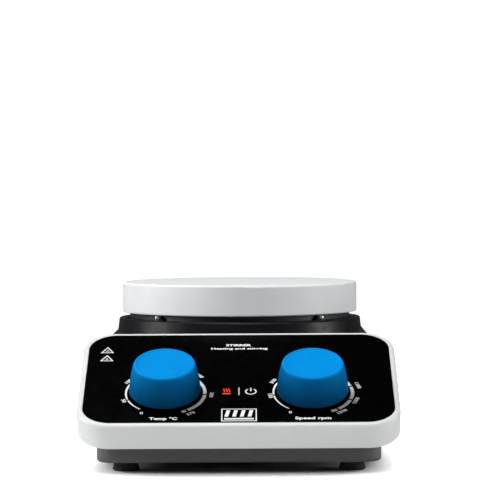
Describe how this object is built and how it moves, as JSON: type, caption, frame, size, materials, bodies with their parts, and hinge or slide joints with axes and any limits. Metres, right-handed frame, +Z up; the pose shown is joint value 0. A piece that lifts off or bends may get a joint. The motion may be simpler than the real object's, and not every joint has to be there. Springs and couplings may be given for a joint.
{
  "type": "heated magnetic stirrer",
  "caption": "Bench-top heated magnetic stirrer: round white plate on a low dark body, tilted black control panel with blue knobs.",
  "frame": {"origin": "middle of the whole device's footprint, on the bench under the feet", "axes": "+Z up, the control panel and its user on the -Y side, the mains inlet on the +Y side"},
  "size_m": [0.167, 0.2792, 0.0935],
  "materials": {
    "white_plastic": "satin white moulding",
    "dark_paint": "anthracite powder coat, fine texture",
    "grey_paint": "mid-grey powder coat, fine texture",
    "black_film": "black printed film, smooth",
    "blue_plastic": "satin sky blue",
    "white_ceramic": "white ceramic coating on aluminium",
    "foot_rubber": "matt grey rubber",
    "black_rubber": "matt black rubber",
    "seal_silicone": "red-brown silicone",
    "black_steel": "black heat-resistant paint",
    "steel": "plain zinc-plated steel",
    "stainless": "brushed stainless steel",
    "lamination_steel": "stacked electrical steel",
    "aluminium": "extruded aluminium",
    "brass": "turned brass",
    "nickel_magnet": "nickel-plated magnet",
    "copper_winding": "enamelled copper wire",
    "green_board": "green solder mask",
    "black_plastic": "fine matt black moulding",
    "green_plastic": "green moulding",
    "transformer_tape": "yellow tape over a black core",
    "capacitor_sleeve": "dark blue heat-shrunk sleeve",
    "clear_plastic": "clear light pipe",
    "fuse_glass": "glass tube with nickel caps",
    "ceramic_fibre": "pressed ceramic-fibre board",
    "mica_plate": "ceramic body",
    "blue_wire": "wire insulation",
    "red_wire": "silicone wire insulation",
    "grey_ribbon": "ribbon cable insulation"
  },
  "bodies": {
    "chassis": {"base_tray": "grey_paint", "upper_housing": "dark_paint", "rubber_feet": "foot_rubber", "case_screws": "steel", "panel_bezel": "white_plastic", "panel_overlay": "black_film", "panel_backplate": "dark_paint", "bezel_screws": "steel", "control_board": "green_board", "potentiometers": "steel", "bush_nuts": "steel", "status_light_pipe": "clear_plastic", "hot_plate": "white_ceramic", "heating_coil": "stainless", "coil_clamp_plate": "stainless", "insulation_disc": "ceramic_fibre", "heat_shield": "black_steel", "neck_seal": "seal_silicone", "plate_standoffs": "stainless", "plate_screws": "steel", "shield_screws": "steel", "plate_probe": "stainless", "thermal_cutout": "mica_plate", "motor_can": "steel", "motor_end_cap": "aluminium", "motor_bearings": "stainless", "stator_core": "lamination_steel", "stator_coils": "copper_winding", "motor_bracket": "steel", "bracket_grommets": "black_rubber", "bracket_screws": "steel", "main_board": "green_board", "board_screws": "steel", "power_transformer": "transformer_tape", "smoothing_capacitors": "capacitor_sleeve", "triac_heatsink": "aluminium", "terminal_blocks": "green_plastic", "mains_inlet": "black_plastic", "inlet_pins": "brass", "inlet_screws": "steel", "rocker_housing": "black_plastic", "probe_socket": "stainless", "rod_socket": "stainless", "mains_leads": "blue_wire", "heater_leads": "red_wire", "motor_leads": "blue_wire", "panel_ribbon": "grey_ribbon"},
    "temp_dial": {"temp_knob": "blue_plastic", "temp_shaft": "aluminium"},
    "speed_dial": {"speed_knob": "blue_plastic", "speed_shaft": "aluminium"},
    "rotor": {"rotor_shaft": "stainless", "rotor_core": "lamination_steel", "magnet_carrier": "steel", "carrier_set_screw": "steel", "drive_magnets": "nickel_magnet"},
    "power_button": {"power_key": "black_plastic"},
    "rocker": {"power_rocker": "black_plastic"},
    "fuse_tray": {"fuse_drawer": "black_plastic", "fuses": "fuse_glass"}
  },
  "joints": [
    {"name": "temp_dial_turn", "type": "hinge", "parent": "chassis", "child": "temp_dial", "pos_m": [-0.0384, -0.1113, 0.0404], "axis": [0, -0.4446, 0.8957], "range_deg": [-150, 150]},
    {"name": "speed_dial_turn", "type": "hinge", "parent": "chassis", "child": "speed_dial", "pos_m": [0.0384, -0.1113, 0.0404], "axis": [0, -0.4446, 0.8957], "range_deg": [-150, 150]},
    {"name": "rotor_spin", "type": "hinge", "parent": "chassis", "child": "rotor", "pos_m": [0, 0.0225, 0.05], "axis": [0, 0, 1], "continuous": true},
    {"name": "power_key_press", "type": "slide", "parent": "chassis", "child": "power_button", "axis": [0, 0.4446, -0.8957], "range_m": [0, 0.0004], "stiffness_N_per_m": 800},
    {"name": "rocker_tilt", "type": "hinge", "parent": "chassis", "child": "rocker", "pos_m": [0.008, 0.1321, 0.0435], "axis": [-1, 0, 0], "range_deg": [0, 18]},
    {"name": "fuse_tray_slide", "type": "slide", "parent": "chassis", "child": "fuse_tray", "axis": [0, 1, 0], "range_m": [0, 0.022]}
  ]
}
